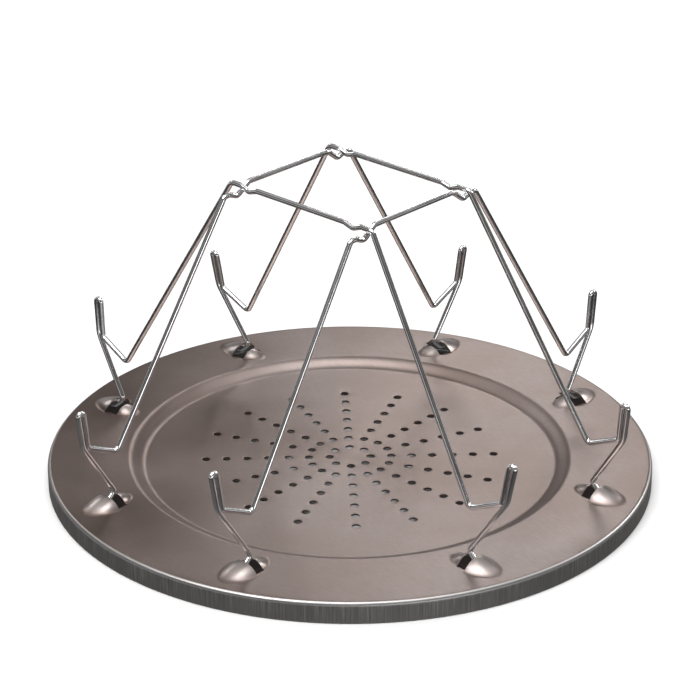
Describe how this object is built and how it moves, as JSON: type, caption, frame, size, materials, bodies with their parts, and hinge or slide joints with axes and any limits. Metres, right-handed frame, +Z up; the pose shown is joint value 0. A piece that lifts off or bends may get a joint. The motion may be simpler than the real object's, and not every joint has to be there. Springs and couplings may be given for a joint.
{
  "type": "toast rack",
  "caption": "Folding toast rack: a round perforated steel plate with bent-wire arches hinged in lanced hoods, which lean together to hold slices.",
  "frame": {"origin": "middle of the plate's lower edge, at the height the rack stands on", "axes": "+Z up; the front arch's feet line is at -Y and the right arch's at +X"},
  "size_m": [0.228, 0.228, 0.1157],
  "materials": {
    "plate_steel": "fine brushed steel sheet, warm grey, slightly satin",
    "wire_chrome": "bright chromed wire"
  },
  "bodies": {
    "plate": {"base_plate": "plate_steel"},
    "front_arch": {"wire_front": "wire_chrome"},
    "back_arch": {"wire_back": "wire_chrome"},
    "left_arch": {"wire_left": "wire_chrome"},
    "right_arch": {"wire_right": "wire_chrome"}
  },
  "joints": [
    {"name": "front_fold", "type": "hinge", "parent": "plate", "child": "front_arch", "pos_m": [0, -0.035, 0.0086], "axis": [1, 0, 0], "range_deg": [0, 88]},
    {"name": "back_fold", "type": "hinge", "parent": "plate", "child": "back_arch", "pos_m": [0, 0.035, 0.0086], "axis": [-1, 0, 0], "range_deg": [0, 88]},
    {"name": "left_fold", "type": "hinge", "parent": "plate", "child": "left_arch", "pos_m": [-0.035, 0, 0.0086], "axis": [0, 1, 0], "range_deg": [0, 82]},
    {"name": "right_fold", "type": "hinge", "parent": "plate", "child": "right_arch", "pos_m": [0.035, 0, 0.0086], "axis": [0, -1, 0], "range_deg": [0, 74]}
  ]
}
